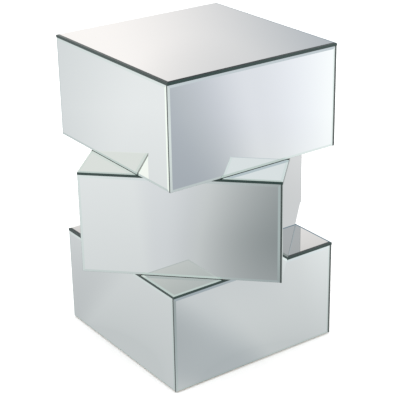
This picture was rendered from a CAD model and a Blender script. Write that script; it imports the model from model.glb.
# Looks for a pedestal side table: three stacked boxes, each clad in bevelled mirror glass.
# Lengths are in metres and angles in degrees. X and Y run along the sides of the lower and
# upper boxes, and the floor is Z = 0.
import math

import bmesh
import bpy
from mathutils import Matrix, Vector, noise


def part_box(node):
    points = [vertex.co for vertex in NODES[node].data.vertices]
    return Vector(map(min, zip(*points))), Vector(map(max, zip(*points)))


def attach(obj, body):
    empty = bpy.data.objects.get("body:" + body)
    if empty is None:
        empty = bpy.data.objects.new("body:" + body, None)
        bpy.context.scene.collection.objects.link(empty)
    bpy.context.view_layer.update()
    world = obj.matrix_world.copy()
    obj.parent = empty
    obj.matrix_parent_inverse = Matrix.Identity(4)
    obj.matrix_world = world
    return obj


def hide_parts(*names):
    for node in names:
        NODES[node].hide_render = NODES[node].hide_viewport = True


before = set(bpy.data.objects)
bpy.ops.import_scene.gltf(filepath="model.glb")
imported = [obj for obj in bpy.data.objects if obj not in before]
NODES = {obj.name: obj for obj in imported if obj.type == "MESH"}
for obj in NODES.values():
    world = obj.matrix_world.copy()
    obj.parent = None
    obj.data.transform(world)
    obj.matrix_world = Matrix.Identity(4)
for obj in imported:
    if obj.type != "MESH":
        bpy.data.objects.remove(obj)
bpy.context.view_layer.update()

BOXES = ("lower", "middle", "upper")
SIDES = ("front", "right", "back", "left")
BODY = "root"
UP = Vector((0, 0, 1))

# The camera stands at the front left of the table and looks down at it
VIEW_AZIMUTH = -35.09
VIEW_DROP = 23.49
VIEW_ROLL = -1.11
VIEW_DISTANCE = 2.4945
AIM_HEIGHT = 0.2819
AIM_STEP = 0.0054
SENSOR = 36.0
LENS = 112.95

# Mirror glass: the ground arris on its rim, and how a face is told from a bevel by its slope
ARRIS = 0.0003
ARRIS_STEPS = 2
MERGE = 1e-5
FLAT_ANGLE = math.radians(1)
SHARP_ANGLE = math.radians(30)
FACE_SLOPE = 0.999
BEVEL_SLOPE = 0.9
FACE, BEVEL, RIM, BACK = range(4)

# Materials: the refraction of glass, the range that noise mostly keeps to, and how deep the
# relief is on polished glass, smooth paint and plating, raw fibres and rolled paint, and felt
GLASS_IOR = 1.52
NOISE_LOW = 0.3
NOISE_HIGH = 0.7
POLISH_RELIEF = 0.00002
SKIN_RELIEF = 0.00005
ROUGH_RELIEF = 0.0002
TUFT_RELIEF = 0.0003

# Felt pads: rounded edge, and the unevenness of hand-punched felt
PAD_RINGS = 10
PAD_SPOKES = 72
PAD_EDGE = 0.0007
PAD_EDGE_STEPS = 4
PAD_UNEVEN = 0.00025
PAD_GRAIN = 260.0

# Studio: the floor's half side, the brightness of the backdrop that the camera sees, and the
# even light that matt surfaces get
FLOOR_HALF = 14.0
BACKDROP = 1.0
EVEN_LIGHT = 1.60

# The floor as the mirrors see it brightens from one tone to the other over these radii
NEAR_RADIUS = 0.24
FAR_RADIUS = 1.6
NEAR_POWER = 0.6
NEAR_TONE = (0.600, 0.620, 0.630)
FAR_TONE = (0.900, 0.905, 0.915)

# The walls and the ceiling as the mirrors see them, and the heights between which one turns
# into the other
WALL_TONE = (1.070, 1.012, 0.995)
CEILING_TONE = (0.750, 0.780, 0.770)
WALL_TOP = 22.5
CEILING_START = 31.5

# Soft shadows and lamps on the floor. Each has its angle, anticlockwise from straight away
# from the camera, its half width, the share of the red, green and blue that is left in its
# middle, and the radii where it begins and where it is full.
FLOOR_PATCHES = [
    (-170.0, 32.0, (0.34, 0.365, 0.37), 0.12, 0.85),
    (-160.0, 30.0, (0.81, 0.83, 0.85), 0.80, 0.40),
    (-126.0, 15.0, (0.52, 0.55, 0.60), 0.30, 1.10),
    (-110.5, 8.5, (0.92, 0.92, 0.97), 1.00, 1.60),
    (-100.0, 40.0, (0.67, 0.69, 0.73), 2.50, 4.00),
    (-42.0, 28.0, (0.81, 0.81, 0.81), 0.10, 0.80),
    (50.0, 25.0, (0.75, 0.77, 0.78), 0.10, 1.10),
    (70.0, 20.0, (0.86, 0.86, 0.87), 0.90, 0.40),
    (160.0, 5.5, (0.92, 0.92, 0.94), 0.30, 0.80),
    (178.0, 20.0, (0.45, 0.47, 0.48), 4.00, 6.00),
    (-163.0, 13.0, (1.76, 1.76, 1.76), 0.55, 0.85),
    (-95.0, 16.0, (1.27, 1.27, 1.27), 0.10, 1.10),
    (105.0, 16.0, (1.36, 1.33, 1.25), 0.75, 1.10),
]

# The same on the walls and the ceiling: angle, height above the horizon, half width, share
WALL_PATCHES = [
    (-20.0, 6.0, 26.5, (0.16, 0.24, 0.31)),
    (0.0, 20.0, 4.2, (0.85, 0.86, 0.87)),
    (-16.0, 26.0, 7.0, (0.78, 0.79, 0.80)),
    (66.0, 22.0, 30.0, (0.85, 0.89, 0.88)),
    (-106.0, 22.0, 30.0, (0.84, 0.90, 0.94)),
    (168.0, 27.0, 11.0, (0.62, 0.67, 0.69)),
    (162.0, 6.0, 18.0, (0.55, 0.58, 0.60)),
    (16.0, 31.0, 13.0, (0.07, 0.08, 0.09)),
    (-109.0, -2.0, 20.0, (0.68, 0.72, 0.78)),
]
CEILING_PATCHES = [
    (2.0, 40.0, 34.0, (0.08, 0.08, 0.09)),
    (-16.0, 26.0, 7.0, (0.78, 0.79, 0.80)),
    (160.0, 27.0, 13.0, (0.52, 0.54, 0.54)),
    (0.0, 90.0, 30.0, (1.20, 1.20, 1.20)),
]


# ---------------------------------------------------------------- node trees


class Nodes:
    """A node tree, with one short call for each kind of node that is used here."""

    def __init__(self, owner):
        owner.use_nodes = True
        self.tree = owner.node_tree
        self.tree.nodes.clear()

    def feed(self, socket, value):
        """Links another node's output to the socket, or sets a plain value on it."""
        if isinstance(value, bpy.types.NodeSocket):
            self.tree.links.new(value, socket)
        else:
            socket.default_value = value

    def add(self, kind, inputs, **settings):
        """A node with these settings, fed by socket name or number."""
        node = self.tree.nodes.new(kind)
        for name, value in settings.items():
            setattr(node, name, value)
        for name, value in inputs.items():
            self.feed(node.inputs[name], value)
        return node

    def math(self, operation, first, second=0.0):
        node = self.add("ShaderNodeMath", {0: first, 1: second}, operation=operation)
        return node.outputs[0]

    def vector(self, operation, first, second=(0, 0, 0)):
        node = self.add("ShaderNodeVectorMath", {0: first, 1: second}, operation=operation)
        return node.outputs["Value" if operation in ("LENGTH", "DOT_PRODUCT") else "Vector"]

    def ramp(self, value, start, end, low=0.0, high=1.0, smooth=True):
        """low up to start and high from end on, or the other way round where end is smaller."""
        sockets = {"Value": value, "From Min": start, "From Max": end, "To Min": low, "To Max": high}
        kind = "SMOOTHSTEP" if smooth else "LINEAR"
        return self.add("ShaderNodeMapRange", sockets, interpolation_type=kind).outputs["Result"]

    def spread(self, speckles, low=0.0, high=1.0):
        """low to high over the range that noise mostly keeps to."""
        return self.ramp(speckles, NOISE_LOW, NOISE_HIGH, low, high)

    def blend(self, share, first, second, kind="MIX"):
        """A mix of two colours, or another blend of them."""
        node = self.tree.nodes.new("ShaderNodeMix")
        node.data_type = "RGBA"
        node.blend_type = kind
        self.feed(node.inputs["Factor"], share)
        colour_sockets = [s for s in node.inputs if s.type == "RGBA"]
        self.feed(colour_sockets[0], first)
        self.feed(colour_sockets[1], second)
        return next(s for s in node.outputs if s.type == "RGBA")

    def speckle(self, scale, detail=4.0, rough=0.5, stretch=(1, 1, 1), distortion=0.0):
        """Noise in the row frame, finer along an axis where stretch is larger."""
        place = self.add("ShaderNodeTexCoord", {}).outputs["Object"]
        place = self.vector("MULTIPLY", place, stretch)
        sockets = {
            "Vector": place,
            "Scale": scale,
            "Detail": detail,
            "Roughness": rough,
            "Distortion": distortion,
        }
        return self.add("ShaderNodeTexNoise", sockets).outputs["Fac"]

    def mix_shaders(self, share, first, second):
        return self.add("ShaderNodeMixShader", {0: share, 1: first, 2: second}).outputs[0]

    def bump(self, height, distance, strength=1.0, under=None):
        sockets = {"Height": height, "Distance": distance, "Strength": strength}
        if under is not None:
            sockets["Normal"] = under
        return self.add("ShaderNodeBump", sockets).outputs["Normal"]

    def principled(self, **sockets):
        """The surface's shader. An underscore in a name stands for a space."""
        names = {name.replace("_", " "): value for name, value in sockets.items()}
        shader = self.add("ShaderNodeBsdfPrincipled", names)
        self.output(shader.outputs[0])

    def output(self, shader, kind="ShaderNodeOutputMaterial"):
        node = self.tree.nodes.new(kind)
        self.tree.links.new(shader, node.inputs["Surface"])


def shade(red, green, blue):
    return (red, green, blue, 1.0)


def grey(level):
    return shade(level, level, level)


def placed(name, data):
    """A new object in the scene."""
    piece = bpy.data.objects.new(name, data)
    bpy.context.scene.collection.objects.link(piece)
    return piece


# ----------------------------------------------------------------- materials


def silvered_glass(name, tint, clean, smudged):
    """Mirror: silver behind clear glass, with faint smudges that only dull the reflection."""
    material = bpy.data.materials.new(name)
    nodes = Nodes(material)
    smudges = nodes.speckle(7.0, detail=5.0, rough=0.6, distortion=0.4)
    waves = nodes.speckle(18.0, detail=1.0)
    nodes.principled(
        Base_Color=tint,
        Metallic=1.0,
        Roughness=nodes.ramp(smudges, 0.42, 0.78, clean, smudged),
        Normal=nodes.bump(waves, POLISH_RELIEF, 0.5),
    )
    return material


def rim_glass(name, deep, light):
    """The polished edge of a sheet of glass: dark bottle green, with fine grinding lines."""
    material = bpy.data.materials.new(name)
    nodes = Nodes(material)
    tide = nodes.speckle(14.0, detail=3.0)
    lines = nodes.speckle(60.0, detail=3.0, stretch=(1, 1, 40))
    nodes.principled(
        Base_Color=nodes.blend(tide, deep, light),
        IOR=GLASS_IOR,
        Roughness=nodes.spread(lines, 0.10, 0.26),
        Normal=nodes.bump(lines, POLISH_RELIEF, 0.4),
    )
    return material


def backing_paint():
    """Grey protective paint on the back of the silvering."""
    material = bpy.data.materials.new("backing_paint")
    nodes = Nodes(material)
    patches = nodes.speckle(20.0)
    skin = nodes.speckle(700.0, detail=2.0)
    nodes.principled(
        Base_Color=nodes.blend(patches, shade(0.17, 0.18, 0.18), shade(0.24, 0.25, 0.25)),
        Roughness=nodes.spread(patches, 0.50, 0.65),
        Normal=nodes.bump(skin, SKIN_RELIEF, 0.3),
    )
    return material


def fibreboard():
    """Raw medium density board: pressed brown fibres with a slightly furry surface."""
    material = bpy.data.materials.new("raw_fibreboard")
    nodes = Nodes(material)
    clouds = nodes.speckle(9.0, detail=3.0)
    fibres = nodes.speckle(420.0, detail=6.0, rough=0.7, distortion=0.6)
    base = nodes.blend(clouds, shade(0.34, 0.23, 0.135), shade(0.42, 0.295, 0.18))
    flecks = nodes.blend(nodes.ramp(fibres, 0.35, 0.7), shade(0.24, 0.16, 0.09), shade(0.55, 0.41, 0.27))
    nodes.principled(
        Base_Color=nodes.blend(0.4, base, flecks),
        Roughness=nodes.spread(fibres, 0.78, 0.95),
        Normal=nodes.bump(fibres, ROUGH_RELIEF, 0.5),
    )
    return material


def black_board():
    """Base board rolled with matt black paint, scuffed where it has been stood down."""
    material = bpy.data.materials.new("black_rolled_paint")
    nodes = Nodes(material)
    stipple = nodes.speckle(380.0, detail=3.0)
    scuffs = nodes.speckle(26.0, detail=6.0, rough=0.75, stretch=(1, 3, 1), distortion=1.0)
    worn = nodes.ramp(scuffs, 0.60, 0.78)
    nodes.principled(
        Base_Color=nodes.blend(worn, shade(0.018, 0.018, 0.019), shade(0.075, 0.066, 0.055)),
        Roughness=nodes.ramp(scuffs, 0.35, 0.75, 0.48, 0.80),
        Normal=nodes.bump(stipple, ROUGH_RELIEF, 0.6),
    )
    return material


def wood(name, pale, dark, ring, pores):
    """Sawn wood with its grain along Z."""
    material = bpy.data.materials.new(name)
    nodes = Nodes(material)
    place = nodes.add("ShaderNodeTexCoord", {}).outputs["Object"]
    place = nodes.vector("MULTIPLY", place, (1, 1, 0.12))
    sockets = {"Vector": place, "Scale": ring, "Distortion": 4.0, "Detail": 3.0, "Detail Scale": 1.5}
    rings = nodes.add("ShaderNodeTexWave", sockets, wave_type="RINGS", rings_direction="Z").outputs["Fac"]
    streaks = nodes.speckle(pores, detail=5.0, rough=0.65, stretch=(1, 1, 0.04))
    grain = nodes.math("MULTIPLY", nodes.ramp(rings, 0.2, 1.0), nodes.ramp(streaks, 0.2, 0.7))
    nodes.principled(
        Base_Color=nodes.blend(grain, pale, dark),
        Roughness=nodes.spread(streaks, 0.50, 0.72),
        Normal=nodes.bump(streaks, ROUGH_RELIEF, 0.4),
    )
    return material


def zinc_steel():
    """Bright zinc plating: slightly blue, cloudy, with small pits."""
    material = bpy.data.materials.new("zinc_plating")
    nodes = Nodes(material)
    clouds = nodes.speckle(160.0, detail=4.0, distortion=0.8)
    pits = nodes.speckle(1500.0, detail=2.0)
    nodes.principled(
        Base_Color=nodes.blend(clouds, shade(0.56, 0.60, 0.66), shade(0.74, 0.72, 0.64)),
        Metallic=1.0,
        Roughness=nodes.spread(clouds, 0.22, 0.42),
        Normal=nodes.bump(pits, SKIN_RELIEF, 0.5),
    )
    return material


def wool_felt():
    """Needled felt: short fibres lying every way, lighter where they stand up."""
    material = bpy.data.materials.new("needled_felt")
    nodes = Nodes(material)
    tufts = nodes.speckle(450.0, detail=3.0, distortion=1.2)
    fibres = nodes.speckle(2600.0, detail=6.0, rough=0.75, stretch=(1, 2.2, 1), distortion=2.5)
    lit = nodes.math("MULTIPLY", nodes.spread(tufts), nodes.ramp(fibres, 0.35, 0.7))
    clumps = nodes.bump(tufts, TUFT_RELIEF, 0.5)
    nodes.principled(
        Base_Color=nodes.blend(lit, shade(0.040, 0.037, 0.034), shade(0.145, 0.135, 0.122)),
        Roughness=nodes.spread(fibres, 0.85, 1.0),
        Sheen_Weight=0.5,
        Sheen_Roughness=0.6,
        Normal=nodes.bump(fibres, ROUGH_RELIEF, 0.8, under=clumps),
    )
    return material


# -------------------------------------------------------------- mirror panels


def facing_way(shape, away):
    """The way that a panel faces: square to its largest face on the outside of its box."""
    outer = [face for face in shape.faces if face.normal.dot(away) > 0]
    return max(outer, key=lambda face: face.calc_area()).normal.copy()


def panel_part(normal, facing):
    """Which part of a sheet of mirror a face belongs to."""
    slope = normal.dot(facing)
    if slope > FACE_SLOPE:
        return FACE
    if slope > BEVEL_SLOPE:
        return BEVEL
    if slope < -BEVEL_SLOPE:
        return BACK
    return RIM


def mirror_panel(node, box_centre, glass):
    """The CAD sheet with its rim and hole edges ground to a fine arris and its parts told apart."""
    mesh = bpy.data.meshes.new(node + "_glass")
    shape = bmesh.new()
    shape.from_mesh(NODES[node].data)
    bmesh.ops.remove_doubles(shape, verts=shape.verts, dist=MERGE)
    bmesh.ops.dissolve_limit(shape, angle_limit=FLAT_ANGLE, verts=shape.verts, edges=shape.edges)
    low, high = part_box(node)
    facing = facing_way(shape, (low + high) / 2 - box_centre)
    sharp = [edge for edge in shape.edges if edge.calc_face_angle(0) > SHARP_ANGLE]
    bmesh.ops.bevel(shape, geom=sharp, offset=ARRIS, segments=ARRIS_STEPS, profile=0.5, affect="EDGES")
    bmesh.ops.recalc_face_normals(shape, faces=shape.faces)
    for face in shape.faces:
        face.smooth = False
        face.material_index = panel_part(face.normal, facing)
    shape.to_mesh(mesh)
    shape.free()
    for material in glass:
        mesh.materials.append(material)
    piece = placed(node + "_glass", mesh)
    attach(piece, BODY)
    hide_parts(node)


def mirror_panels():
    """All fifteen panels. The tops are of thicker glass, so their rims look darker."""
    face = silvered_glass("mirror_face", shade(0.870, 0.900, 0.893), 0.006, 0.022)
    bevel = silvered_glass("mirror_bevel", shade(0.790, 0.865, 0.840), 0.05, 0.09)
    thick_rim = rim_glass("thick_rim_glass", shade(0.010, 0.026, 0.023), shade(0.022, 0.052, 0.045))
    thin_rim = rim_glass("thin_rim_glass", shade(0.030, 0.042, 0.039), shade(0.055, 0.070, 0.064))
    back = backing_paint()
    for box in BOXES:
        low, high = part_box(box + "_base_board")
        centre = (low + high) / 2
        mirror_panel(box + "_top_mirror", centre, (face, bevel, thick_rim, back))
        for side in SIDES:
            mirror_panel(f"{box}_{side}_mirror", centre, (face, bevel, thin_rim, back))


# ------------------------------------------------------------------ felt pads


def pad_section(radius, height):
    """Half of a pad's section, from the middle of its underside to the middle of its top."""
    quarter = [math.radians(90 * k / PAD_EDGE_STEPS) for k in range(PAD_EDGE_STEPS + 1)]
    flats = [radius * k / PAD_RINGS for k in range(PAD_RINGS - 1)]
    bottom = [(x, 0.0) for x in flats]
    lower_edge = [(radius - PAD_EDGE * (1 - math.sin(a)), PAD_EDGE * (1 - math.cos(a))) for a in quarter]
    upper_edge = [(x, height - z) for x, z in reversed(lower_edge)]
    top = [(x, height - z) for x, z in reversed(bottom)]
    return bottom + lower_edge + upper_edge + top


def felt_pads():
    """Four felt discs in one mesh, at the corners of the CAD pads' box."""
    low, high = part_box("felt_pads")
    height = high.z - low.z
    radius = pad_radius()
    shape = bmesh.new()
    for x in (low.x + radius, high.x - radius):
        for y in (low.y + radius, high.y - radius):
            add_pad(shape, Vector((x, y, low.z)), radius, height)
    mesh = bpy.data.meshes.new("felt_pad_set")
    shape.to_mesh(mesh)
    shape.free()
    mesh.materials.append(wool_felt())
    piece = placed("felt_pad_set", mesh)
    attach(piece, BODY)
    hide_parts("felt_pads")


def pad_radius():
    """Half the width of the one CAD pad on the positive side of both X and Y."""
    spots = [vertex.co for vertex in NODES["felt_pads"].data.vertices]
    reach = [spot.x for spot in spots if spot.x > 0 and spot.y > 0]
    return (max(reach) - min(reach)) / 2


def add_pad(shape, foot, radius, height):
    """Turns the pad's section round its middle, with an outline and a top that are a little uneven."""
    rings = []
    for reach, rise in pad_section(radius, height)[1:-1]:
        ring = []
        for k in range(PAD_SPOKES):
            angle = 2 * math.pi * k / PAD_SPOKES
            way = Vector((math.cos(angle), math.sin(angle), 0))
            dent = PAD_UNEVEN * (0.5 + 0.5 * noise.noise((foot + way * radius) * PAD_GRAIN))
            spot = foot + way * (reach - dent * reach / radius) + UP * rise
            ring.append(shape.verts.new(spot))
        rings.append(ring)
    for first, second in zip(rings, rings[1:]):
        for k in range(PAD_SPOKES):
            after = (k + 1) % PAD_SPOKES
            shape.faces.new((first[k], first[after], second[after], second[k]))
    under = shape.verts.new(foot)
    over = shape.verts.new(foot + UP * height)
    for k in range(PAD_SPOKES):
        after = (k + 1) % PAD_SPOKES
        shape.faces.new((under, rings[0][after], rings[0][k]))
        shape.faces.new((over, rings[-1][k], rings[-1][after]))
    bmesh.ops.recalc_face_normals(shape, faces=shape.faces)
    for face in shape.faces:
        face.smooth = True


# ------------------------------------------------------- carcass and hardware


def finish_nodes(ending, material):
    """Gives a material to every CAD node whose name ends in that way."""
    for name, node in NODES.items():
        if name.endswith(ending):
            for slot in node.material_slots:
                slot.link = "OBJECT"
                slot.material = material


def carcass():
    """Materials for the boards, blocks, dowels and metal parts, whose CAD meshes stay."""
    raw_board = fibreboard()
    for side in ("top",) + SIDES:
        finish_nodes(f"_{side}_board", raw_board)
    finish_nodes("_base_board", black_board())
    pine = wood("sawn_pine", shade(0.66, 0.47, 0.26), shade(0.46, 0.27, 0.12), 55.0, 500.0)
    beech = wood("turned_beech", shade(0.62, 0.43, 0.27), shade(0.48, 0.30, 0.17), 260.0, 1400.0)
    for corner in range(1, 5):
        finish_nodes(f"_corner_block_{corner}", pine)
    finish_nodes("_dowels", beech)
    plating = zinc_steel()
    for fixing in ("_base_screws", "_joint_bolts", "_joint_washers", "_tee_nuts"):
        finish_nodes(fixing, plating)


# --------------------------------------------------------------------- studio


def turned(angle):
    """Unit vector on the floor, that many degrees anticlockwise from straight away from the camera."""
    turn = math.radians(90 + VIEW_AZIMUTH + angle)
    return Vector((math.cos(turn), math.sin(turn), 0))


def sky_way(angle, height):
    """Unit vector at that angle and that many degrees above the horizon."""
    rise = math.radians(height)
    return turned(angle) * math.cos(rise) + UP * math.sin(rise)


def lobe(nodes, direction, around, half_width):
    """1 straight towards around, falling smoothly to 0 half_width degrees away from it."""
    closeness = nodes.vector("DOT_PRODUCT", direction, tuple(around))
    return nodes.ramp(closeness, math.cos(math.radians(half_width)), 1.0)


def patched(nodes, tone, amount, share):
    """The tone, and as far as amount says only that share of its red, green and blue."""
    return nodes.blend(amount, tone, nodes.blend(1.0, tone, shade(*share), "MULTIPLY"))


def mirrored_floor(nodes):
    """The floor's light as the mirrors see it: dimmer close to the table, and patchy round it."""
    place = nodes.add("ShaderNodeNewGeometry", {}).outputs["Position"]
    flat = nodes.vector("MULTIPLY", place, (1, 1, 0))
    radius = nodes.vector("LENGTH", flat)
    direction = nodes.vector("NORMALIZE", flat)
    brightening = nodes.ramp(radius, NEAR_RADIUS, FAR_RADIUS, smooth=False)
    brightening = nodes.math("POWER", brightening, NEAR_POWER)
    tone = nodes.blend(brightening, shade(*NEAR_TONE), shade(*FAR_TONE))
    for angle, half_width, share, start, full in FLOOR_PATCHES:
        across = lobe(nodes, direction, turned(angle), half_width)
        amount = nodes.math("MULTIPLY", across, nodes.ramp(radius, start, full))
        tone = patched(nodes, tone, amount, share)
    return tone


def studio_floor():
    """Lit tone to the mirrors, matt white to the camera, and clear from below and to diffuse light."""
    material = bpy.data.materials.new("studio_floor")
    nodes = Nodes(material)
    rays = nodes.add("ShaderNodeLightPath", {})
    behind = nodes.add("ShaderNodeNewGeometry", {}).outputs["Backfacing"]
    paper = nodes.speckle(900.0, detail=3.0)
    white = nodes.blend(paper, shade(0.93, 0.93, 0.93), shade(0.95, 0.95, 0.95))
    matt = nodes.add("ShaderNodeBsdfDiffuse", {"Color": white}).outputs[0]
    glow = nodes.add("ShaderNodeEmission", {"Color": mirrored_floor(nodes)}).outputs[0]
    clear = nodes.add("ShaderNodeBsdfTransparent", {}).outputs[0]
    seen = nodes.mix_shaders(rays.outputs["Is Glossy Ray"], matt, glow)
    hidden = nodes.math("MAXIMUM", behind, rays.outputs["Is Diffuse Ray"])
    nodes.output(nodes.mix_shaders(hidden, seen, clear))
    material.cycles.emission_sampling = "NONE"
    return material


def floor():
    """A large square sheet under the table."""
    mesh = bpy.data.meshes.new("floor")
    turns = ((-1, -1), (1, -1), (1, 1), (-1, 1))
    corners = [(x * FLOOR_HALF, y * FLOOR_HALF, 0) for x, y in turns]
    mesh.from_pydata(corners, [], [(0, 1, 2, 3)])
    mesh.materials.append(studio_floor())
    placed("floor", mesh)


def patchy(nodes, direction, tone, patches):
    """A tone of the walls or the ceiling with darker and lighter patches on it."""
    for angle, height, half_width, share in patches:
        amount = lobe(nodes, direction, sky_way(angle, height), half_width)
        tone = patched(nodes, tone, amount, share)
    return tone


def studio_dome():
    """Light from all round: even to matt surfaces, patchy to the mirrors, plain to the camera."""
    world = bpy.data.worlds.new("studio")
    bpy.context.scene.world = world
    nodes = Nodes(world)
    direction = nodes.add("ShaderNodeTexCoord", {}).outputs["Generated"]
    walls = patchy(nodes, direction, shade(*WALL_TONE), WALL_PATCHES)
    ceiling = patchy(nodes, direction, shade(*CEILING_TONE), CEILING_PATCHES)
    rise = nodes.vector("DOT_PRODUCT", direction, tuple(UP))
    start, end = (math.sin(math.radians(height)) for height in (WALL_TOP, CEILING_START))
    mirrored = nodes.blend(nodes.ramp(rise, start, end), walls, ceiling)
    rays = nodes.add("ShaderNodeLightPath", {})
    plain = nodes.blend(rays.outputs["Is Camera Ray"], grey(EVEN_LIGHT), grey(BACKDROP))
    light = nodes.blend(rays.outputs["Is Glossy Ray"], plain, mirrored)
    glow = nodes.add("ShaderNodeBackground", {"Color": light}).outputs[0]
    nodes.output(glow, "ShaderNodeOutputWorld")


def camera():
    """Looks down at the table's axis from the front left."""
    azimuth, drop, roll = (math.radians(a) for a in (VIEW_AZIMUTH, VIEW_DROP, VIEW_ROLL))
    level = Vector((-math.sin(azimuth), math.cos(azimuth), 0))
    right = Vector((math.cos(azimuth), math.sin(azimuth), 0))
    ahead = level * math.cos(drop) - UP * math.sin(drop)
    above = right.cross(ahead)
    rolled_right = right * math.cos(roll) + above * math.sin(roll)
    rolled_above = above * math.cos(roll) - right * math.sin(roll)
    aim = right * AIM_STEP + UP * AIM_HEIGHT
    data = bpy.data.cameras.new("camera")
    data.sensor_width = SENSOR
    data.lens = LENS
    data.clip_end = 4 * FLOOR_HALF
    piece = placed("camera", data)
    turn = Matrix((rolled_right, rolled_above, -ahead)).transposed().to_4x4()
    piece.matrix_world = Matrix.Translation(aim - ahead * VIEW_DISTANCE) @ turn
    bpy.context.scene.camera = piece


mirror_panels()
felt_pads()
carcass()
floor()
studio_dome()
camera()
bpy.context.scene.view_settings.view_transform = "Standard"
